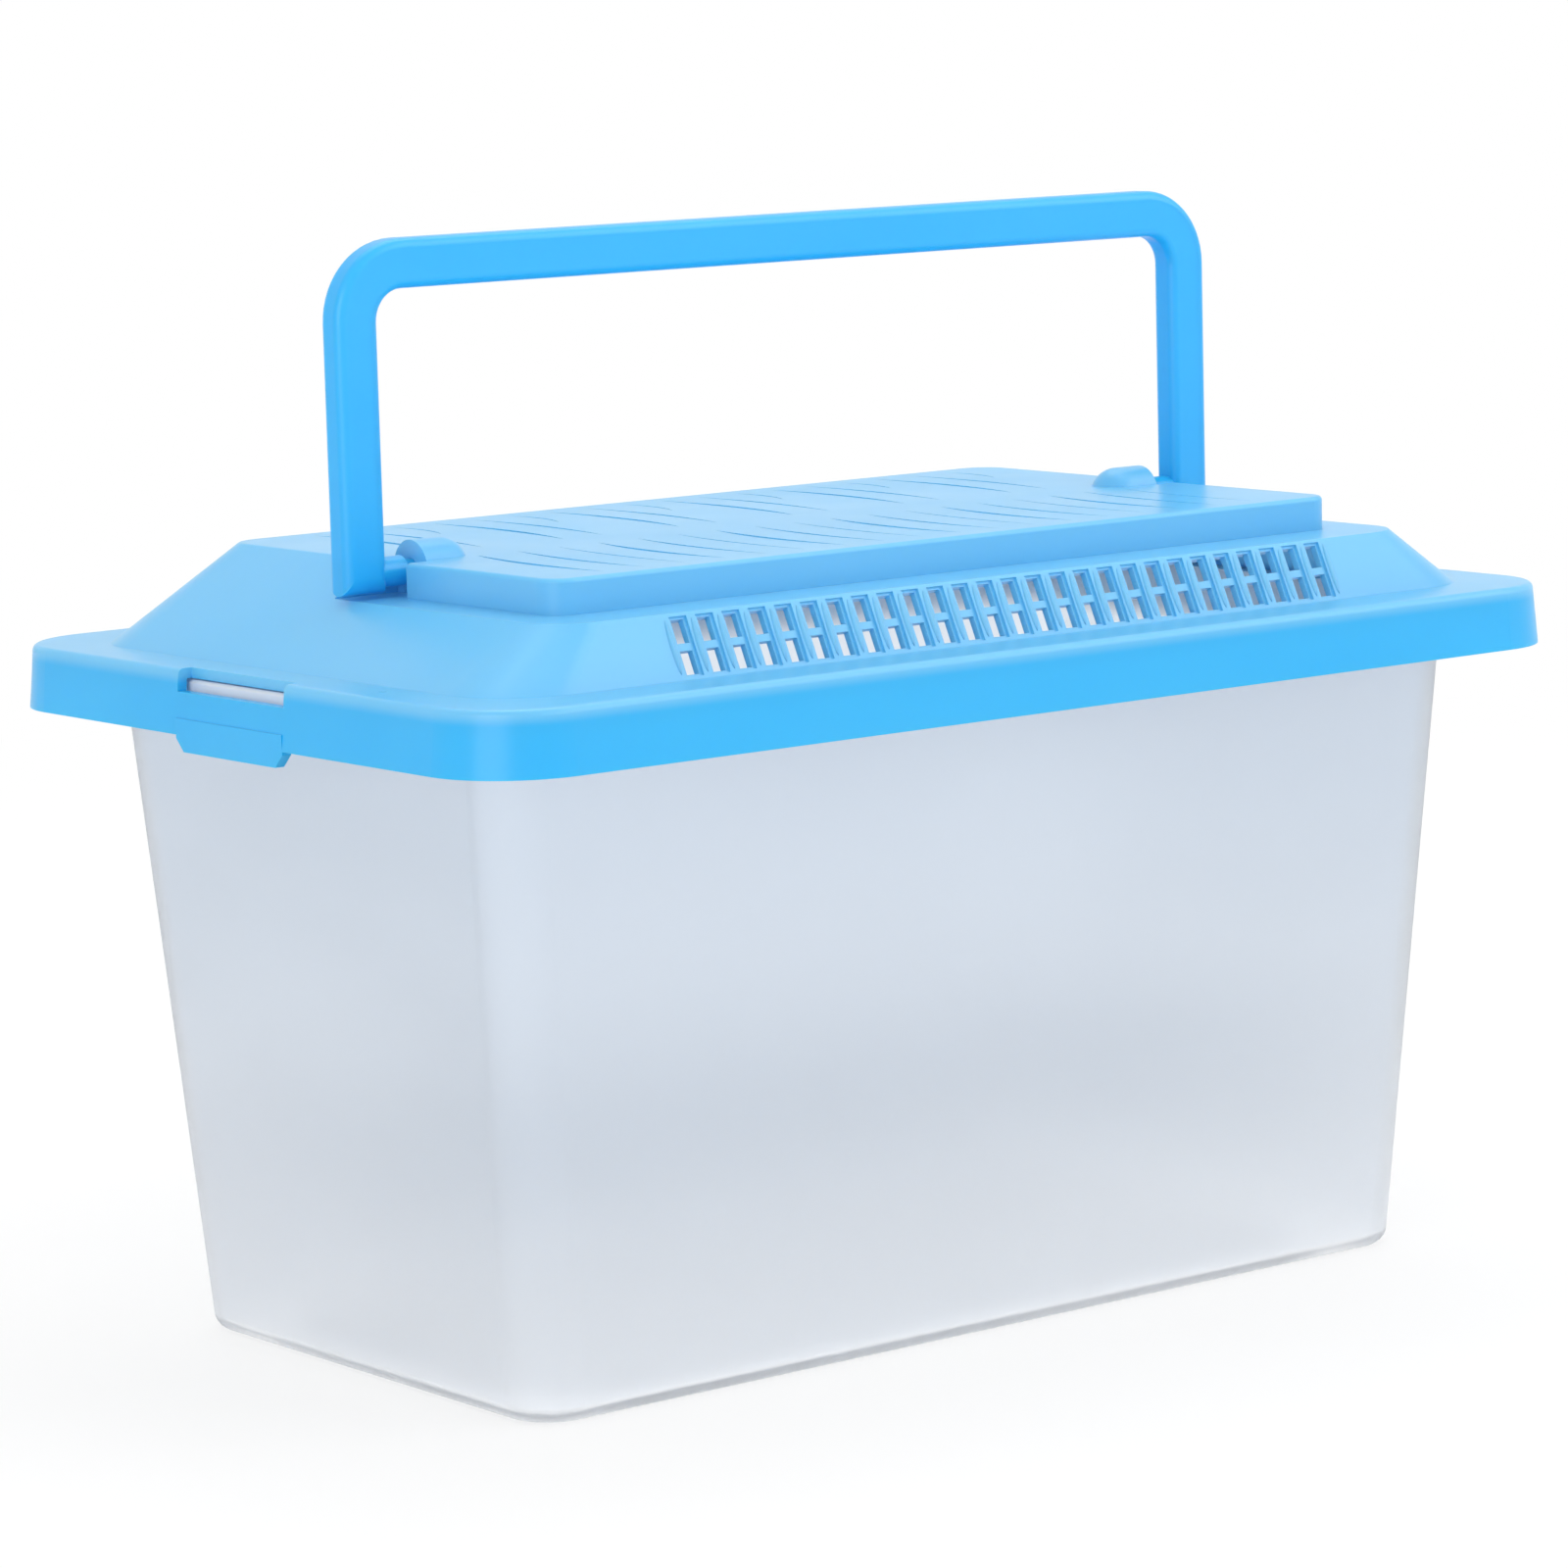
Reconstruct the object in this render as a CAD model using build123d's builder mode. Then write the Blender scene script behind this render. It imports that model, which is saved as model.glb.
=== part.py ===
"""Portable plastic fish tank: a clear tapered tank, a vented clip-on lid and a swing handle.

Millimetres, origin at the centre of the base, X along the length, Y to the back, Z up.
"""
import os
from math import atan2, hypot, sin, degrees, radians

from build123d import *

os.makedirs("parts", exist_ok=True)

# Walls and running clearances
tank_wall = 1.8
tank_floor = 2.0
lid_wall = 1.8
lid_seat_gap = 0.3
lip_side_gap = 1.0
pin_gap = 0.08
leg_gap = 1.9
bar_gap = 0.5
foot_gap = 0.8

# Lid rim: a drafted skirt under a flat flange
lid_length = 240.0
lid_width = 150.0
lid_corner = 16.5
flange_top = 122.0
skirt_height = 11.0
skirt_draft = 0.95
fold_round = 1.2

# Lid dome: sloped sides up to a plateau, with a ledge for the handle round its front half
flange_end = 10.5
flange_side = 12.0
dome_rise = 16.4
end_run = 22.7
back_run = 13.0
front_run = 5.0
dome_foot_corner = 14.5
dome_top_corner = 6.0
ledge_drop = 6.0
ledge_border = 2.3
plateau_corner = 4.5
plateau_edge_round = 0.8
notch_depth = 4.5
notch_front = 5.2

# Tank: a tapered box with soft corners and an outward lip that carries the lid
end_overhang = 12.25
side_overhang = 16.0
end_taper = 9.25
side_taper = 7.25
tank_corner = 9.5
base_edge_round = 3.0
lip_thickness = 2.0
lip_chamfer = 0.5
base_panel_inset = 9.0
base_panel_depth = 0.8
base_panel_corner = 18.0

# Handle: a rounded-rectangle bar bent into a bail, with a pin on the inside of each foot
bar_in_plane = 8.4
bar_thickness = 5.6
bar_edge_round = 1.6
bail_bend = 9.6
pivot_rise = 4.2
foot_drop = 3.4
pin_radius = 1.8
pin_length = 14.0
hub_radius = 2.6
hub_length = 4.2

# Boss: a half-round cover over each pin
boss_radius = 5.0
boss_length = 10.7
boss_end_wall = 2.4

# Vents in the front slope: two rows of windows in shallow flutes
vent_columns = 27
vent_pitch = 5.42
vent_width = 2.5
vent_height = 4.1
vent_row_pitch = 5.4
flute_width = 3.6
flute_length = 10.4
flute_depth = 0.5

# Curved grooves in the plateau, in two bands either side of a plain spine
groove_widths = (1.4, 1.0, 0.6)
groove_sets = 6
groove_pitch = 8.5
groove_depth = 0.8
groove_sag = 1.1
groove_lean = 2.4
spine_half = 5.0
band_border = 4.0
short_groove = 0.4

# End clips: a window at the fold, a tab below the skirt and a hook under the tank's lip
clip_width = 32.0
clip_window_height = 3.8
clip_window_reach = 2.6
clip_drop = 2.8
clip_chamfer = 2.2
hook_height = 2.6
hook_bite = 1.0
hook_gap = 0.2

# Places worked out from the sizes above
skirt_bottom = flange_top - skirt_height
flange_under = flange_top - lid_wall
lip_top = flange_under - lid_seat_gap
lip_under = lip_top - lip_thickness
draft_slope = skirt_draft / skirt_height
mouth_length = lid_length - 2 * end_overhang
mouth_width = lid_width - 2 * side_overhang
dome_foot_end = lid_length / 2 - flange_end
dome_foot_side = lid_width / 2 - flange_side
plateau_top = flange_top + dome_rise
plateau_end = dome_foot_end - end_run
ledge_top = plateau_top - ledge_drop
ledge_front = dome_foot_side - front_run
front_run_per_rise = front_run / (ledge_top - flange_top)
back_run_per_rise = back_run / dome_rise
end_run_per_rise = end_run / dome_rise
notch_end = plateau_end - notch_depth
pivot_height = ledge_top + pivot_rise
leg_length = ledge_front - ledge_border - bar_in_plane / 2
plateau_front = leg_length - bar_in_plane / 2 - bar_gap
plateau_back = dome_foot_side - back_run
rebate_back = foot_drop + foot_gap
leg_inner = plateau_end + leg_gap
leg_centre = leg_inner + bar_in_plane / 2
bar_height = pivot_height + leg_length


def tank_side(half_mouth, taper, wall, level):
    """Corners of one side view of the tapered tank, drawn in by a wall, above a level."""
    half_low = half_mouth - wall - taper * (1 - level / lip_top)
    half_high = half_mouth - wall
    return [(-half_low, level), (half_low, level), (half_high, lip_top), (-half_high, lip_top)]


def tank_form(wall, level):
    """Tapered form of the tank, drawn in by a wall, from a level up to the lip's top."""
    with BuildPart() as form:
        with BuildSketch(Plane.XZ):
            Polygon(*tank_side(mouth_length / 2, end_taper, wall, level), align=None)
        extrude(amount=mouth_width, both=True)
        with BuildSketch(Plane.YZ):
            Polygon(*tank_side(mouth_width / 2, side_taper, wall, level), align=None)
        extrude(amount=mouth_length, both=True, mode=Mode.INTERSECT)
        uprights = form.edges().filter_by(lambda e: e.bounding_box().size.Z > 1)
        fillet(uprights, tank_corner - wall)
        fillet(form.faces().sort_by(Axis.Z)[0].edges(), base_edge_round - wall)
    return form.part


def rim_outline(level, inset):
    """Outline of the skirt's outside at a height, drawn in by an inset."""
    drawn_in = inset + (level - skirt_bottom) * draft_slope
    with BuildSketch(Plane.XY.offset(level)) as outline:
        RectangleRounded(lid_length - 2 * drawn_in, lid_width - 2 * drawn_in, lid_corner - drawn_in)
    return outline.sketch


def rim_block(inset, top):
    """Solid inside the skirt's outside, drawn in by an inset, up to a height."""
    with BuildPart() as block:
        add(rim_outline(skirt_bottom, inset))
        extrude(amount=top - skirt_bottom, taper=degrees(atan2(skirt_draft, skirt_height)))
    return block.part


def dome_outline(level, wall):
    """Outline of the sloped dome at a height, with every face moved in by a wall."""
    rise = level - flange_top
    half_x = dome_foot_end - rise * end_run_per_rise - wall * hypot(1, end_run_per_rise)
    front = dome_foot_side - rise * front_run_per_rise - wall * hypot(1, front_run_per_rise)
    back = dome_foot_side - rise * back_run_per_rise - wall * hypot(1, back_run_per_rise)
    corner = dome_foot_corner + (dome_top_corner - dome_foot_corner) * rise / dome_rise - wall
    with BuildSketch(Plane.XY.offset(level)) as outline:
        with Locations((0, (back - front) / 2)):
            RectangleRounded(2 * half_x, front + back, corner)
    return outline.sketch


def rebate(wall):
    """Space for the folded handle: it runs round the front half, and the wall widens it."""
    with BuildPart() as space:
        with BuildSketch(Plane.XY.offset(ledge_top - wall)):
            with Locations((0, rebate_back + wall)):
                Rectangle(lid_length, lid_width, align=(Align.CENTER, Align.MAX))
            with Locations((0, wall - plateau_front)):
                Rectangle(
                    2 * (plateau_end - wall),
                    lid_width,
                    align=(Align.CENTER, Align.MIN),
                    mode=Mode.SUBTRACT,
                )
        extrude(amount=dome_rise)
        upright = space.edges().filter_by(Axis.Z).filter_by(lambda e: e.length > 1)
        inner = upright.filter_by(lambda e: abs(abs(e.center().X) - (plateau_end - wall)) < 0.1)
        fillet(inner.filter_by(lambda e: e.center().Y < -plateau_front / 2), plateau_corner - wall)
        with BuildSketch(Plane.XY.offset(ledge_top - wall)):
            for side in (-1, 1):
                with Locations((side * (notch_end - wall), rebate_back + wall)):
                    near = Align.MIN if side > 0 else Align.MAX
                    Rectangle(
                        notch_depth + 2 * wall,
                        rebate_back + notch_front + 2 * wall,
                        align=(near, Align.MAX),
                    )
        extrude(amount=dome_rise)
    return space.part


def dome(wall):
    """Sloped dome with the handle's rebate, from the foot up to the plateau."""
    foot = flange_top - wall - (fold_round if wall == 0 else 0)
    with BuildPart() as body:
        add(dome_outline(foot, wall))
        add(dome_outline(plateau_top - wall, wall))
        loft(ruled=True)
        add(rebate(wall), mode=Mode.SUBTRACT)
        if wall == 0:
            plateau = body.faces().sort_by(Axis.Z)[-1]
            fillet(plateau.edges(), plateau_edge_round)
    return body.part


def boss(side):
    """Half-round cover over a pin, closed with a ball end on its inner side."""
    with BuildPart() as cover:
        with BuildSketch(Plane.YZ.offset(side * notch_end)):
            with Locations((0, pivot_height)):
                Circle(boss_radius)
        extrude(amount=-side * (boss_length - boss_radius))
        with Locations((side * (notch_end - boss_length + boss_radius), 0, pivot_height)):
            Sphere(boss_radius)
        with Locations((0, 0, flange_under)):
            Box(
                lid_length,
                lid_width,
                plateau_top - lid_wall - flange_under,
                align=(Align.CENTER, Align.CENTER, Align.MIN),
                mode=Mode.SUBTRACT,
            )
    return cover.part


def pin_channel(side):
    """Keyhole channel for a pin: round over the pin and open below it."""
    bore = pin_radius + pin_gap
    depth = boss_length - boss_end_wall
    with BuildPart() as channel:
        with BuildSketch(Plane.YZ.offset(side * (notch_end + foot_gap))):
            with Locations((0, pivot_height)):
                Circle(bore)
                Rectangle(2 * bore, pivot_rise, align=(Align.CENTER, Align.MAX))
        extrude(amount=-side * (depth + foot_gap))
    return channel.part


def clip_tab(side):
    """Clip at one end: a tab below the skirt and a hook that reaches under the tank's lip."""
    hook_top = lip_under - hook_gap
    face = lid_length / 2 - (hook_top - skirt_bottom) * draft_slope
    wall_middle = face - lid_wall / 2
    hook_end = face - lid_wall - lip_side_gap - hook_bite
    with BuildPart() as clip:
        with BuildSketch(Plane.YZ.offset(side * lid_length / 2)) as tab:
            with Locations((0, skirt_bottom + clip_drop)):
                Rectangle(clip_width, 2 * clip_drop, align=(Align.CENTER, Align.MAX))
            chamfer(tab.vertices().group_by(Axis.Y)[0], clip_chamfer)
        extrude(amount=-side * lid_wall)
        with BuildSketch(Plane.XZ.offset(-clip_width / 2)):
            Polygon(
                (side * wall_middle, hook_top),
                (side * hook_end, hook_top),
                (side * wall_middle, hook_top - hook_height),
                align=None,
            )
        extrude(amount=clip_width)
    return clip.part


def groove_band(side, index):
    """Every third curved groove of one band of the plateau, in that groove's own width."""
    outer = (plateau_back if side > 0 else plateau_front) - band_border
    length = outer - spine_half
    inner = outer - length * short_groove if side > 0 and index == 2 else spine_half
    with BuildSketch(Plane.XY.offset(plateau_top)) as crescent:
        with BuildLine():
            start = (side * groove_lean / 2, side * outer)
            SagittaArc(start, (0, side * inner), groove_sag)
            SagittaArc(start, (0, side * inner), groove_sag + groove_widths[index])
        make_face()
    with BuildSketch(Plane.XY.offset(plateau_top)) as band:
        with Locations(((index - 1) * groove_pitch, 0)):
            with GridLocations(3 * groove_pitch, 1, groove_sets, 1):
                add(crescent.sketch_local)
    return band.sketch


with BuildPart() as tank:
    add(tank_form(0, 0))
    with BuildSketch(Plane.XY.offset(lip_under)):
        add(rim_outline(lip_under, lid_wall + lip_side_gap))
    extrude(amount=lip_thickness)
    chamfer(tank.faces().sort_by(Axis.Z)[-1].outer_wire().edges(), lip_chamfer)
    add(tank_form(tank_wall, tank_floor), mode=Mode.SUBTRACT)
    with BuildSketch(Plane.XY):
        RectangleRounded(
            mouth_length - 2 * (end_taper + base_panel_inset),
            mouth_width - 2 * (side_taper + base_panel_inset),
            base_panel_corner,
        )
    extrude(amount=base_panel_depth, mode=Mode.SUBTRACT)
tank.part.label = "tank"

front_angle = degrees(atan2(1, front_run_per_rise))
vent_middle = (flange_top + ledge_top) / 2
vent_plane = Plane(
    origin=(0, -(dome_foot_side - (vent_middle - flange_top) * front_run_per_rise), vent_middle),
    x_dir=(1, 0, 0),
    z_dir=(0, -sin(radians(front_angle)), sin(radians(90 - front_angle))),
)

with BuildPart() as lid:
    add(rim_block(0, flange_top))
    fillet(lid.faces().sort_by(Axis.Z)[-1].edges(), fold_round)
    add(dome(0))
    add(rim_block(lid_wall, flange_under), mode=Mode.SUBTRACT)
    add(dome(lid_wall), mode=Mode.SUBTRACT)
    for side in (-1, 1):
        add(boss(side))
        add(pin_channel(side), mode=Mode.SUBTRACT)
        with Locations((side * (lid_length / 2 - skirt_draft), 0, flange_top - clip_window_height)):
            Box(
                2 * clip_window_reach,
                clip_width,
                2 * clip_window_height,
                align=(Align.CENTER, Align.CENTER, Align.MIN),
                mode=Mode.SUBTRACT,
            )
        add(clip_tab(side))
        for index in range(len(groove_widths)):
            add(groove_band(side, index))
            extrude(amount=-groove_depth, mode=Mode.SUBTRACT)
    with BuildSketch(vent_plane):
        with GridLocations(vent_pitch, 1, vent_columns, 1):
            Rectangle(flute_width, flute_length)
    extrude(amount=-flute_depth, mode=Mode.SUBTRACT)
    with BuildSketch(vent_plane):
        with GridLocations(vent_pitch, vent_row_pitch, vent_columns, 2):
            Rectangle(vent_width, vent_height)
    extrude(amount=-3 * lid_wall, mode=Mode.SUBTRACT)
lid.part.label = "lid"

with BuildPart() as handle:
    with BuildLine(Plane.XZ) as bail_line:
        FilletPolyline(
            (-leg_centre, pivot_height - foot_drop),
            (-leg_centre, bar_height),
            (leg_centre, bar_height),
            (leg_centre, pivot_height - foot_drop),
            radius=bail_bend,
        )
    with BuildSketch(Plane.XY.offset(pivot_height - foot_drop)):
        with Locations((-leg_centre, 0)):
            RectangleRounded(bar_in_plane, bar_thickness, bar_edge_round)
    sweep(path=bail_line.wires()[0])
    with BuildSketch(Plane.YZ):
        with Locations((0, pivot_height - foot_drop + bar_thickness / 2)):
            Rectangle(2 * bar_thickness, bar_thickness, align=(Align.CENTER, Align.MAX))
            Circle(bar_thickness / 2, mode=Mode.SUBTRACT)
    extrude(amount=lid_length / 2, both=True, mode=Mode.SUBTRACT)
    for side in (-1, 1):
        with BuildSketch(Plane.YZ.offset(side * (leg_inner + bar_edge_round))):
            with Locations((0, pivot_height)):
                Circle(hub_radius)
        extrude(amount=-side * (hub_length + bar_edge_round))
        with BuildSketch(Plane.YZ.offset(side * leg_inner)):
            with Locations((0, pivot_height)):
                Circle(pin_radius)
        extrude(amount=-side * pin_length)
handle.part.label = "handle"

export_step(tank.part, "parts/tank.step")
export_step(lid.part, "parts/lid.step")
export_step(handle.part, "parts/handle.step")
for piece in (tank, lid, handle):
    box = piece.part.bounding_box()
    print(piece.part.label, len(piece.solids()), round(piece.part.volume), box.min, box.max)
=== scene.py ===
"""Portable plastic fish tank: finishes, vent bars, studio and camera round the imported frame.

The frame's own nodes (tank, lid, handle) stay as they are and get their plastics here. Lengths are
metres, in the frame's axes: X along the length, Y to the back, Z up.
"""
import logging
from dataclasses import dataclass, field
from enum import Enum
from math import cos, pi, sin
from typing import Sequence

import bpy
from mathutils import Matrix, Vector


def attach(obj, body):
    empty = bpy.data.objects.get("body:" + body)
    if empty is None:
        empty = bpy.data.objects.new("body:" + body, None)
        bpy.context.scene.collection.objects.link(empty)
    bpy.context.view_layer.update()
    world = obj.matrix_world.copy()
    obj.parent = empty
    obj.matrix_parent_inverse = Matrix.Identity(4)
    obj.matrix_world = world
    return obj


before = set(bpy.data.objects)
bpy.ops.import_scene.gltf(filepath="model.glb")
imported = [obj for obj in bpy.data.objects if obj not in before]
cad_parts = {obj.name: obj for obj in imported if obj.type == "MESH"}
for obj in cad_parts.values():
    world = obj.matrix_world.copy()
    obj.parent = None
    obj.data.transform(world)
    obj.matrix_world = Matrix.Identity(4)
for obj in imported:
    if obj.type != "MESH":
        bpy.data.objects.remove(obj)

log = logging.getLogger("fish_tank")
MM = 0.001
PICTURE_SIDE = 1600
SENSOR_WIDTH = 36.0
PLASTIC_IOR = 1.49
NOISE_DETAIL = 3.0
BUMP_STRENGTH = 0.5
UNIT_RADIUS = 0.5
NOWHERE = (1.0, 1.1)
WHITE = (1.0, 1.0, 1.0, 1.0)
MIX_FIRST, MIX_SECOND, MIX_COLOUR = 6, 7, 2

Colour = tuple[float, float, float]
Tint = Colour | bpy.types.NodeSocket


def linear(red: int, green: int, blue: int) -> Colour:
    """Turns a colour as a screen shows it into the shader's linear colour.

    Args:
        red: Red, 0 to 255.
        green: Green, 0 to 255.
        blue: Blue, 0 to 255.

    Returns:
        The linear colour.
    """
    def one(part: int) -> float:
        """Gives one channel's linear value."""
        share = part / 255
        return share / 12.92 if share <= 0.04045 else ((share + 0.055) / 1.055) ** 2.4

    return one(red), one(green), one(blue)


class Grain(Enum):
    """Scale of the moulding marks in a plastic, as noise cycles for one metre."""

    FLOW = 14.0
    CLOUD = 45.0


class Shade:
    """Small helper that builds one node material on Object coordinates."""

    def __init__(self, name: str) -> None:
        """Starts an empty material with its shader and output.

        Args:
            name: The material's name.
        """
        self.material = bpy.data.materials.new(name)
        self.material.use_nodes = True
        self.tree = self.material.node_tree
        self.tree.nodes.clear()
        self.output = self.tree.nodes.new("ShaderNodeOutputMaterial")
        self.shader = self.tree.nodes.new("ShaderNodeBsdfPrincipled")
        self.join(self.shader.outputs["BSDF"], self.output.inputs["Surface"])
        self.place = self.tree.nodes.new("ShaderNodeTexCoord").outputs["Object"]

    def join(self, start: bpy.types.NodeSocket, end: bpy.types.NodeSocket) -> None:
        """Links two sockets."""
        self.tree.links.new(start, end)

    def noise(self, grain: Grain, stretch: Sequence[float] = (1, 1, 1)) -> bpy.types.NodeSocket:
        """Adds a noise over the piece.

        Args:
            grain: The marks' scale.
            stretch: How much the pattern is squeezed along each axis.

        Returns:
            The noise's value.
        """
        mapping = self.tree.nodes.new("ShaderNodeMapping")
        mapping.inputs["Scale"].default_value = stretch
        texture = self.tree.nodes.new("ShaderNodeTexNoise")
        texture.inputs["Scale"].default_value = grain.value
        texture.inputs["Detail"].default_value = NOISE_DETAIL
        self.join(self.place, mapping.inputs["Vector"])
        self.join(mapping.outputs["Vector"], texture.inputs["Vector"])
        return texture.outputs["Fac"]

    def height(
        self, low: float, high: float, values: tuple[float, float] = (0.0, 1.0)
    ) -> bpy.types.NodeSocket:
        """Adds a ramp that goes from one value to another with height.

        Args:
            low: Height where the ramp starts.
            high: Height where it ends.
            values: Its values below and above.

        Returns:
            The ramp's value.
        """
        parts = self.tree.nodes.new("ShaderNodeSeparateXYZ")
        self.join(self.place, parts.inputs["Vector"])
        return self.ramp(parts.outputs["Z"], (low, high), values)

    def math(
        self, operation: str, first: bpy.types.NodeSocket, second: bpy.types.NodeSocket
    ) -> bpy.types.NodeSocket:
        """Joins two values by one operation of the math node.

        Args:
            operation: The node's operation.
            first: The first value.
            second: The second value.

        Returns:
            The result.
        """
        node = self.tree.nodes.new("ShaderNodeMath")
        node.operation = operation
        self.join(first, node.inputs[0])
        self.join(second, node.inputs[1])
        return node.outputs[0]

    def ramp(
        self, value: bpy.types.NodeSocket, inside: tuple[float, float], outside: tuple[float, float]
    ) -> bpy.types.NodeSocket:
        """Maps a value from one range to another, smoothly.

        Args:
            value: The value to map.
            inside: The range that it comes in.
            outside: The range that it goes to.

        Returns:
            The mapped value.
        """
        node = self.tree.nodes.new("ShaderNodeMapRange")
        node.interpolation_type = "SMOOTHSTEP"
        node.inputs["From Min"].default_value, node.inputs["From Max"].default_value = inside
        node.inputs["To Min"].default_value, node.inputs["To Max"].default_value = outside
        self.join(value, node.inputs["Value"])
        return node.outputs["Result"]

    def blend(self, share: bpy.types.NodeSocket, first: Tint, second: Tint) -> bpy.types.NodeSocket:
        """Mixes two colours.

        Args:
            share: How much of the second colour shows.
            first: The first colour, or a socket that gives it.
            second: The second colour, or a socket that gives it.

        Returns:
            The mixed colour.
        """
        node = self.tree.nodes.new("ShaderNodeMix")
        node.data_type = "RGBA"
        for tint, socket in ((first, node.inputs[MIX_FIRST]), (second, node.inputs[MIX_SECOND])):
            if isinstance(tint, bpy.types.NodeSocket):
                self.join(tint, socket)
            else:
                socket.default_value = (*tint, 1)
        self.join(share, node.inputs[0])
        return node.outputs[MIX_COLOUR]

    def bump(self, value: bpy.types.NodeSocket, depth: float) -> None:
        """Adds a fine relief to the surface.

        Args:
            value: The relief's pattern.
            depth: Its depth in metres.
        """
        node = self.tree.nodes.new("ShaderNodeBump")
        node.inputs["Distance"].default_value = depth
        node.inputs["Strength"].default_value = BUMP_STRENGTH
        self.join(value, node.inputs["Height"])
        self.join(node.outputs["Normal"], self.shader.inputs["Normal"])

    def level(self, socket: str, value: float) -> None:
        """Sets a uniform value on the shader's own socket."""
        self.shader.inputs[socket].default_value = value


@dataclass(frozen=True)
class TintedPlastic:
    """Soft blue moulded plastic that lets a little light through.

    The deep pair is the plastic's own colour, its two ends over the flow marks. The second pair is a
    paler colour painted over the upper heights given. It is painted light, standing in for light that
    shines through the thin upper walls and falls on them from above.
    """

    name: str
    deep: tuple[Colour, Colour] = (linear(28, 186, 252), linear(54, 195, 254))
    painted_light_tints: tuple[Colour, Colour] = (linear(104, 202, 252), linear(124, 208, 254))
    painted_light_heights: tuple[float, float] = NOWHERE
    roughness: tuple[float, float] = (0.26, 0.36)
    glow: float = 0.25
    glow_depth: float = 0.004
    glow_reach: tuple[float, float, float] = (0.4, 0.8, 1.0)
    flow_stretch: tuple[float, float, float] = (1.0, 2.5, 3.0)
    through: float = 0.3
    relief: float = 0.00003

    def build(self) -> bpy.types.Material:
        """Makes the material: faint flow marks, painted light that pales the upper walls, uneven gloss and
        soft waves.

        Returns:
            The material.
        """
        shade = Shade(self.name)
        flow = shade.noise(Grain.FLOW, self.flow_stretch)
        # Painted light: a paler colour over the upper heights stands in for light through the thin upper
        # walls and from above.
        painted_light_share = shade.height(*self.painted_light_heights)
        body = shade.blend(painted_light_share, shade.blend(flow, *self.deep), shade.blend(flow, *self.painted_light_tints))
        shade.join(body, shade.shader.inputs["Base Color"])
        cloud = shade.noise(Grain.CLOUD)
        shade.join(shade.ramp(cloud, (0.0, 1.0), self.roughness), shade.shader.inputs["Roughness"])
        shade.bump(cloud, self.relief)
        shade.level("Subsurface Weight", self.glow)
        shade.level("Subsurface Scale", self.glow_depth)
        shade.shader.inputs["Subsurface Radius"].default_value = self.glow_reach
        shade.level("Transmission Weight", self.through)
        shade.level("IOR", PLASTIC_IOR)
        return shade.material


@dataclass(frozen=True)
class FrostedPlastic:
    """Frosted clear moulded plastic, bluer towards the mouth, milkier in its rim and lower walls.

    Each pair of heights is where a ramp starts and ends, and each clear pair says how clear the
    plastic is under and over them.
    """

    name: str
    low: Colour = linear(248, 251, 255)
    high: Colour = linear(240, 246, 253)
    roughness: tuple[float, float] = (0.3, 0.4)
    floor_clear: tuple[float, float] = (0.9, 0.0)
    floor_heights: tuple[float, float] = (0.0025, 0.0032)
    wall_clear: tuple[float, float] = (0.6, 0.96)
    wall_heights: tuple[float, float] = (0.003, 0.055)
    rim_clear: tuple[float, float] = (1.0, 0.3)
    rim_heights: tuple[float, float] = (0.108, 0.114)
    bend: float = 1.4
    relief: float = 0.00003
    tint_heights: tuple[float, float] = (0.0, 0.1)
    cloud_stretch: tuple[float, float, float] = (0.3, 0.3, 1.0)
    flow_stretch: tuple[float, float, float] = (1.0, 1.0, 2.0)

    def build(self) -> bpy.types.Material:
        """Makes the material: milky body, uneven gloss and faint flow marks.

        Returns:
            The material.
        """
        shade = Shade(self.name)
        share = shade.height(*self.tint_heights)
        shade.join(shade.blend(share, self.low, self.high), shade.shader.inputs["Base Color"])
        cloud = shade.noise(Grain.CLOUD, self.cloud_stretch)
        shade.join(shade.ramp(cloud, (0.0, 1.0), self.roughness), shade.shader.inputs["Roughness"])
        shade.bump(shade.noise(Grain.FLOW, self.flow_stretch), self.relief)
        base = shade.height(*self.floor_heights, self.floor_clear)
        wall = shade.height(*self.wall_heights, self.wall_clear)
        body = shade.math("MAXIMUM", base, wall)
        clear = shade.math("MULTIPLY", shade.height(*self.rim_heights, self.rim_clear), body)
        shade.join(clear, shade.shader.inputs["Transmission Weight"])
        shade.level("IOR", self.bend)
        return shade.material


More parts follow.
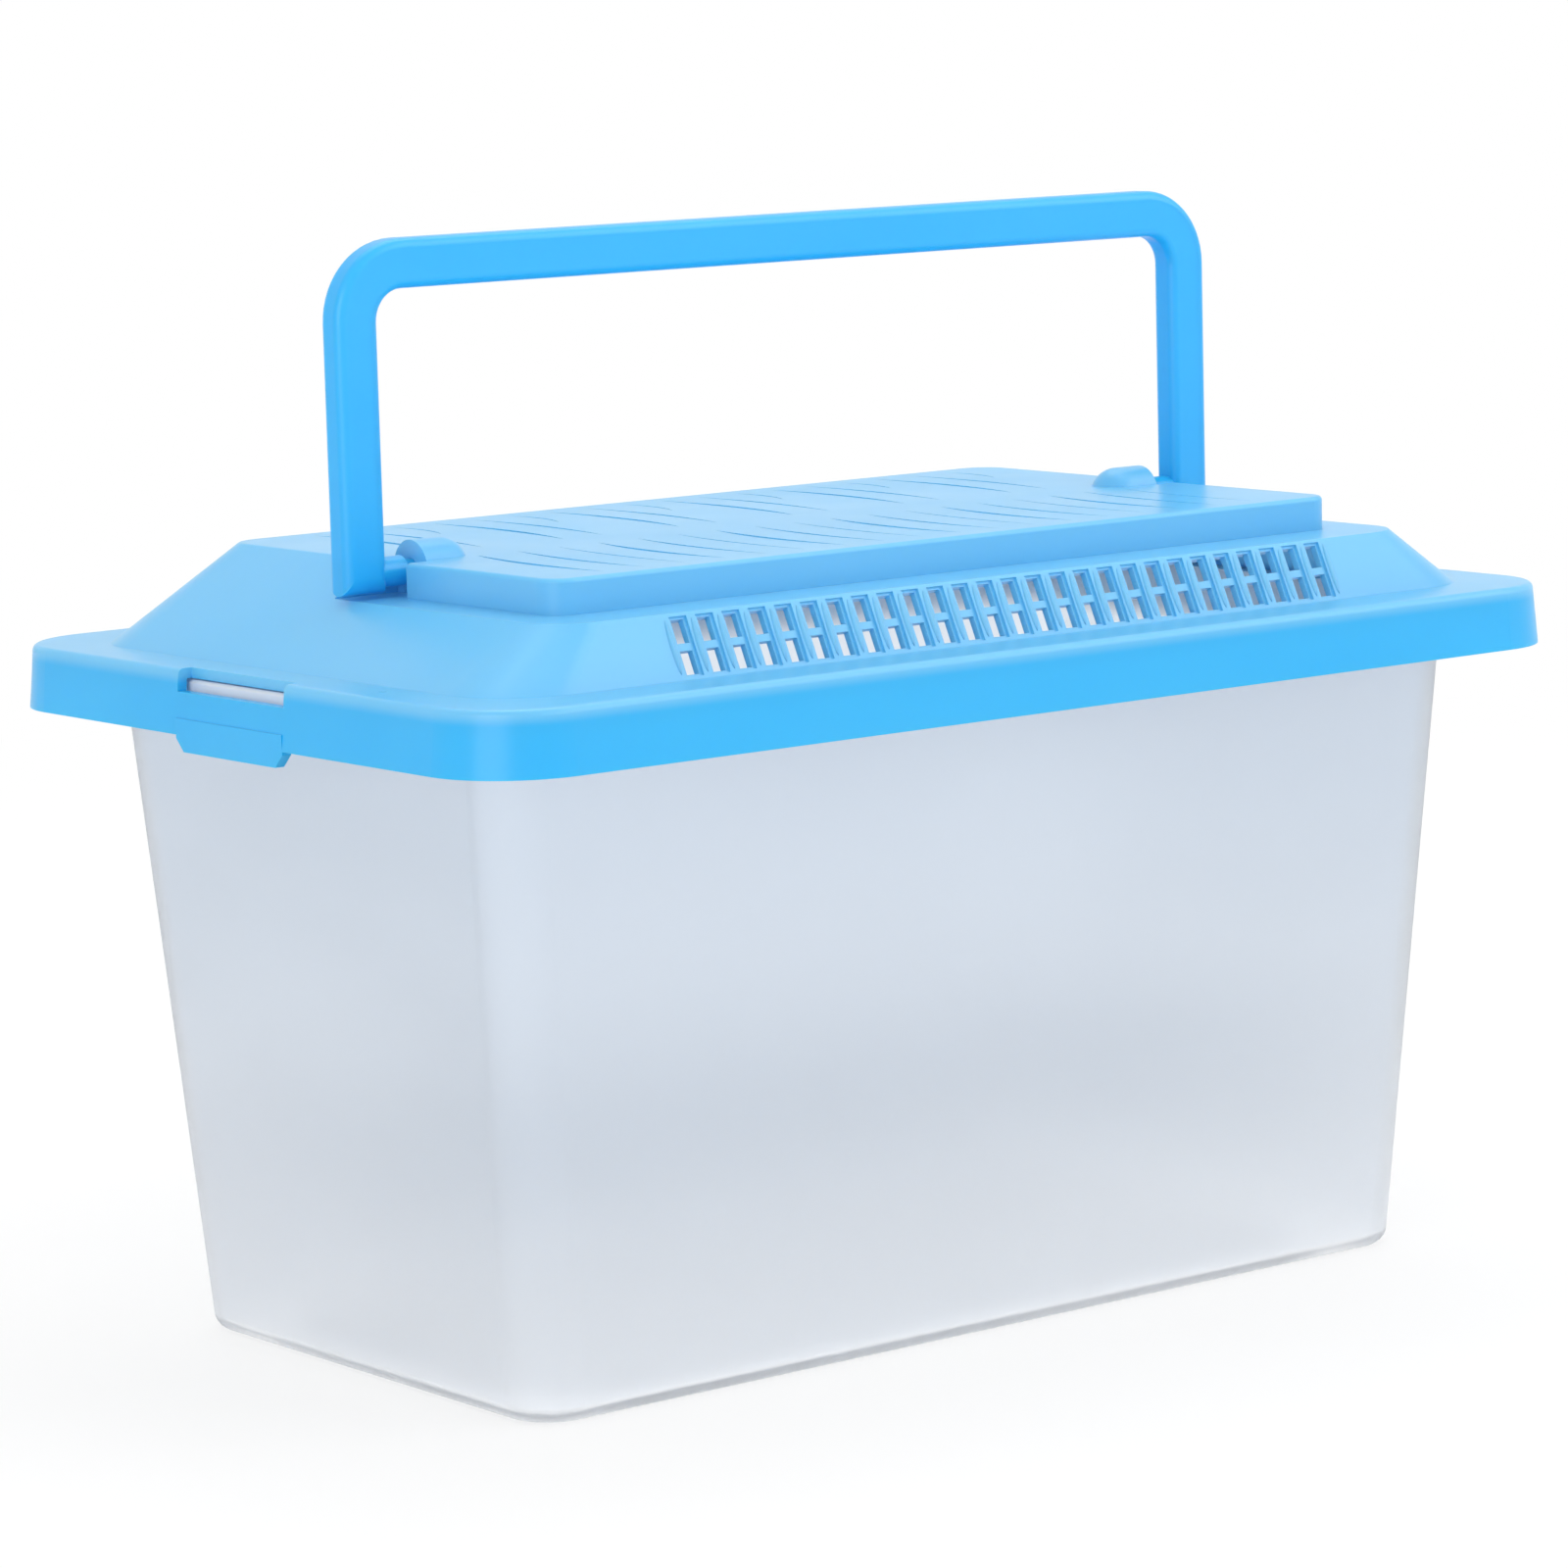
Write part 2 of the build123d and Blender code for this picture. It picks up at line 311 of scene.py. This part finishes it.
@dataclass(frozen=True)
class PaleFloor:
    """Plain white paper floor, which keeps the shadow and shows white to the camera."""

    name: str = "studio_floor"
    colour: Colour = (0.9, 0.9, 0.9)
    grain_share: float = 0.985
    roughness: float = 0.9
    gloss: float = 0.1
    white_share: tuple[float, float] = (0.75, 1.0)
    fade: tuple[float, float] = (0.25, 0.8)

    def build(self) -> bpy.types.Material:
        """Makes the material: paper for the light, mostly plain white for the eye.

        The white grows away from the tank, so that the floor meets the surround with no edge, and
        is whole through the plastic.

        Returns:
            The material.
        """
        shade = Shade(self.name)
        grain = shade.noise(Grain.CLOUD)
        dim = tuple(self.grain_share * part for part in self.colour)
        shade.join(shade.blend(grain, dim, self.colour), shade.shader.inputs["Base Color"])
        shade.level("Roughness", self.roughness)
        shade.level("Specular IOR Level", self.gloss)
        white = shade.tree.nodes.new("ShaderNodeEmission")
        white.inputs["Color"].default_value = WHITE
        reach = shade.tree.nodes.new("ShaderNodeVectorMath")
        reach.operation = "LENGTH"
        shade.join(shade.place, reach.inputs[0])
        whiter = shade.ramp(reach.outputs["Value"], self.fade, self.white_share)
        behind = shade.tree.nodes.new("ShaderNodeLightPath").outputs["Is Transmission Ray"]
        seen = shade.math("MULTIPLY", seen_share(shade.tree), whiter)
        mix = shade.tree.nodes.new("ShaderNodeMixShader")
        shade.join(shade.math("MAXIMUM", seen, behind), mix.inputs[0])
        shade.join(shade.shader.outputs["BSDF"], mix.inputs[1])
        shade.join(white.outputs["Emission"], mix.inputs[2])
        shade.join(mix.outputs["Shader"], shade.output.inputs["Surface"])
        return shade.material


def seen_share(tree: bpy.types.NodeTree) -> bpy.types.NodeSocket:
    """Gives 1 for rays from the eye, also by reflection or through plastic, and 0 for light.

    Args:
        tree: The node tree to add to.

    Returns:
        The share's socket.
    """
    path = tree.nodes.new("ShaderNodeLightPath")
    total = path.outputs["Is Camera Ray"]
    for name in ("Is Glossy Ray", "Is Transmission Ray"):
        either = tree.nodes.new("ShaderNodeMath")
        either.operation = "MAXIMUM"
        tree.links.new(total, either.inputs[0])
        tree.links.new(path.outputs[name], either.inputs[1])
        total = either.outputs[0]
    return total


def dress(node: str, material: bpy.types.Material) -> bpy.types.Object:
    """Gives a CAD node its plastic.

    Args:
        node: The node's name.
        material: Its finish.

    Returns:
        The node's object.
    """
    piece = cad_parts[node]
    if not piece.material_slots:
        piece.data.materials.append(material)
    for slot in piece.material_slots:
        slot.material = material
    return piece


@dataclass
class Tank:
    """The clear tapered tank."""

    finish: FrostedPlastic = field(default_factory=lambda: FrostedPlastic("tank_frosted"))

    def build(self) -> list[bpy.types.Object]:
        """Dresses the tank.

        Returns:
            Its pieces.
        """
        return [dress("tank", self.finish.build())]


@dataclass
class Lid:
    """The vented lid, with the rounded bars that stand between its vents."""

    # Painted light: the lid is painted paler from 119.2 mm up, over its slopes and top.
    finish: TintedPlastic = field(
        default_factory=lambda: TintedPlastic("lid_blue", painted_light_heights=(119.2 * MM, 121.2 * MM))
    )
    columns: int = 27
    pitch: float = 5.42 * MM
    bar_length: float = 9.6 * MM
    bar_width: float = 1.1 * MM
    bar_rise: float = 0.25 * MM
    bar_sides: int = 12
    bar_rings: int = 8
    panel_low: tuple[float, float] = (-63.0 * MM, 122.0 * MM)
    panel_high: tuple[float, float] = (-58.0 * MM, 132.4 * MM)

    def build(self) -> list[bpy.types.Object]:
        """Dresses the lid and adds the vent bars.

        Returns:
            Its pieces.
        """
        plastic = self.finish.build()
        bars = self.vent_bars(plastic)
        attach(bars, "lid")
        return [dress("lid", plastic), bars]

    def bar_tree(self) -> bpy.types.NodeTree:
        """Builds the tree that repeats one long rounded bar along the vents.

        Returns:
            The geometry node tree.
        """
        tree = bpy.data.node_groups.new("vent_bars", "GeometryNodeTree")
        face = tree.interface
        for name, kind in (
            ("Count", "NodeSocketInt"),
            ("Pitch", "NodeSocketFloat"),
            ("Length", "NodeSocketFloat"),
            ("Width", "NodeSocketFloat"),
            ("Rise", "NodeSocketFloat"),
            ("Plastic", "NodeSocketMaterial"),
        ):
            face.new_socket(name, in_out="INPUT", socket_type=kind)
        face.new_socket("Bars", in_out="OUTPUT", socket_type="NodeSocketGeometry")
        add, join = tree.nodes.new, tree.links.new
        given, made = add("NodeGroupInput"), add("NodeGroupOutput")
        row = add("GeometryNodeMeshLine")
        step = add("ShaderNodeCombineXYZ")
        join(given.outputs["Pitch"], step.inputs["X"])
        join(given.outputs["Count"], row.inputs["Count"])
        join(step.outputs["Vector"], row.inputs["Offset"])
        ball = add("GeometryNodeMeshUVSphere")
        ball.inputs["Segments"].default_value = self.bar_sides
        ball.inputs["Rings"].default_value = self.bar_rings
        ball.inputs["Radius"].default_value = UNIT_RADIUS
        size = add("ShaderNodeCombineXYZ")
        join(given.outputs["Width"], size.inputs["X"])
        join(given.outputs["Length"], size.inputs["Y"])
        join(given.outputs["Rise"], size.inputs["Z"])
        shape = add("GeometryNodeTransform")
        join(ball.outputs["Mesh"], shape.inputs["Geometry"])
        join(size.outputs["Vector"], shape.inputs["Scale"])
        spread = add("GeometryNodeInstanceOnPoints")
        join(row.outputs["Mesh"], spread.inputs["Points"])
        join(shape.outputs["Geometry"], spread.inputs["Instance"])
        real = add("GeometryNodeRealizeInstances")
        join(spread.outputs["Instances"], real.inputs["Geometry"])
        skin = add("GeometryNodeSetMaterial")
        join(real.outputs["Geometry"], skin.inputs["Geometry"])
        join(given.outputs["Plastic"], skin.inputs["Material"])
        join(skin.outputs["Geometry"], made.inputs["Bars"])
        return tree

    def vent_bars(self, plastic: bpy.types.Material) -> bpy.types.Object:
        """Makes the bars between the vents, lying on the front slope.

        Args:
            plastic: The lid's finish.

        Returns:
            The bars as one plain mesh.
        """
        tree = self.bar_tree()
        values = {
            "Count": self.columns + 1,
            "Pitch": self.pitch,
            "Length": self.bar_length,
            "Width": self.bar_width,
            "Rise": 2 * self.bar_rise,
            "Plastic": plastic,
        }
        made = from_tree("vent_bars", tree, values)
        low, high = Vector((0, *self.panel_low)), Vector((0, *self.panel_high))
        up = (high - low).normalized()
        out = Vector((1, 0, 0)).cross(up)
        start = (low + high) / 2 - Vector((self.columns * self.pitch / 2, 0, 0))
        turn = Matrix((Vector((1, 0, 0)), up, out)).transposed().to_4x4()
        made.data.transform(Matrix.Translation(start) @ turn)
        return made


def from_tree(name: str, tree: bpy.types.NodeTree, values: dict) -> bpy.types.Object:
    """Runs a geometry node tree once and keeps its result as a plain mesh.

    Args:
        name: The new piece's name.
        tree: The tree to run.
        values: Its inputs by name.

    Returns:
        The piece, at the origin, with no modifier left.
    """
    piece = bpy.data.objects.new(name, bpy.data.meshes.new(name))
    bpy.context.scene.collection.objects.link(piece)
    maker = piece.modifiers.new("maker", "NODES")
    maker.node_group = tree
    for item in tree.interface.items_tree:
        if item.in_out == "INPUT" and item.name in values:
            maker[item.identifier] = values[item.name]
    piece.update_tag()
    deps = bpy.context.evaluated_depsgraph_get()
    made = bpy.data.meshes.new_from_object(piece.evaluated_get(deps))
    piece.modifiers.remove(maker)
    piece.data = made
    made.polygons.foreach_set("use_smooth", [True] * len(made.polygons))
    return piece


@dataclass
class Handle:
    """The swing handle."""

    finish: TintedPlastic = field(default_factory=lambda: TintedPlastic("handle_blue"))

    def build(self) -> list[bpy.types.Object]:
        """Dresses the handle.

        Returns:
            Its pieces.
        """
        return [dress("handle", self.finish.build())]


@dataclass
class SoftLamp:
    """A large soft lamp aimed at the object."""

    name: str
    place: tuple[float, float, float]
    aim: tuple[float, float, float]
    side: float
    power: float
    colour: Colour = (1.0, 1.0, 1.0)

    def build(self) -> bpy.types.Object:
        """Makes the lamp.

        Returns:
            The lamp's object.
        """
        data = bpy.data.lights.new(self.name, "AREA")
        data.shape = "SQUARE"
        data.size = self.side
        data.energy = self.power
        data.color = self.colour
        lamp = bpy.data.objects.new(self.name, data)
        bpy.context.scene.collection.objects.link(lamp)
        lamp.location = self.place
        gaze = Vector(self.aim) - Vector(self.place)
        lamp.rotation_euler = gaze.to_track_quat("-Z", "Y").to_euler()
        return lamp


@dataclass
class Studio:
    """White floor, white surround, soft lamps and the camera."""

    floor_radius: float = 6.0
    floor_corners: int = 64
    ambient: float = 0.86
    camera_place: tuple[float, float, float] = (-0.62808, -0.79488, 0.23879)
    yaw: float = 0.66589
    pitch: float = -0.14491
    roll: float = -0.02635
    focal_pixels: float = 5859.4
    clip: tuple[float, float] = (0.05, 50.0)
    floor: PaleFloor = field(default_factory=PaleFloor)
    lamps: tuple[SoftLamp, ...] = (
        SoftLamp("front_right", (0.92, -0.9, 0.85), (0, 0, 0.1), 1.1, 7.0),
        SoftLamp("above", (0.35, 0.3, 1.5), (0, 0, 0.1), 1.2, 7.0),
        SoftLamp("front_left", (-1.2, -0.6, 0.45), (0, 0, 0.08), 0.9, 5.0),
    )

    def build(self) -> None:
        """Makes the floor, the surround, the lamps and the camera."""
        self.build_floor()
        self.build_surround()
        for lamp in self.lamps:
            lamp.build()
        self.build_camera()
        bpy.context.scene.view_settings.view_transform = "Standard"

    def build_floor(self) -> None:
        """Makes the round floor under the tank."""
        turns = [2 * pi * n / self.floor_corners for n in range(self.floor_corners)]
        ring = [(self.floor_radius * cos(turn), self.floor_radius * sin(turn), 0) for turn in turns]
        mesh = bpy.data.meshes.new("floor")
        mesh.from_pydata(ring, [], [list(range(self.floor_corners))])
        mesh.materials.append(self.floor.build())
        ground = bpy.data.objects.new("floor", mesh)
        bpy.context.scene.collection.objects.link(ground)

    def build_surround(self) -> None:
        """Makes the world: white to the eye, gentle as light."""
        world = bpy.data.worlds.new("surround")
        bpy.context.scene.world = world
        world.use_nodes = True
        tree = world.node_tree
        tree.nodes.clear()
        out = tree.nodes.new("ShaderNodeOutputWorld")
        soft = tree.nodes.new("ShaderNodeBackground")
        soft.inputs["Strength"].default_value = self.ambient
        white = tree.nodes.new("ShaderNodeBackground")
        white.inputs["Color"].default_value = WHITE
        soft.inputs["Color"].default_value = WHITE
        mix = tree.nodes.new("ShaderNodeMixShader")
        tree.links.new(seen_share(tree), mix.inputs[0])
        tree.links.new(soft.outputs["Background"], mix.inputs[1])
        tree.links.new(white.outputs["Background"], mix.inputs[2])
        tree.links.new(mix.outputs["Shader"], out.inputs["Surface"])

    def build_camera(self) -> None:
        """Makes the camera at the photograph's place and angle."""
        data = bpy.data.cameras.new("camera")
        data.sensor_width = SENSOR_WIDTH
        data.lens = self.focal_pixels / PICTURE_SIDE * SENSOR_WIDTH
        data.clip_start, data.clip_end = self.clip
        ahead = Vector((sin(self.yaw) * cos(self.pitch), cos(self.yaw) * cos(self.pitch), sin(self.pitch)))
        level = Vector((cos(self.yaw), -sin(self.yaw), 0))
        above = level.cross(ahead)
        right = level * cos(self.roll) + above * sin(self.roll)
        up = above * cos(self.roll) - level * sin(self.roll)
        camera = bpy.data.objects.new("camera", data)
        turn = Matrix((right, up, -ahead)).transposed().to_4x4()
        camera.matrix_world = Matrix.Translation(self.camera_place) @ turn
        bpy.context.scene.collection.objects.link(camera)
        bpy.context.scene.camera = camera


def main() -> None:
    """Builds the studio and dresses each sub-assembly in turn."""
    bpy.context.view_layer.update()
    Studio().build()
    for assembly in (Tank(), Lid(), Handle()):
        for piece in assembly.build():
            log.info("%s: %s with %d faces", type(assembly).__name__, piece.name, len(piece.data.polygons))
    bpy.context.view_layer.update()


if __name__ == "__main__":
    logging.basicConfig(level=logging.INFO, format="%(message)s")
    main()
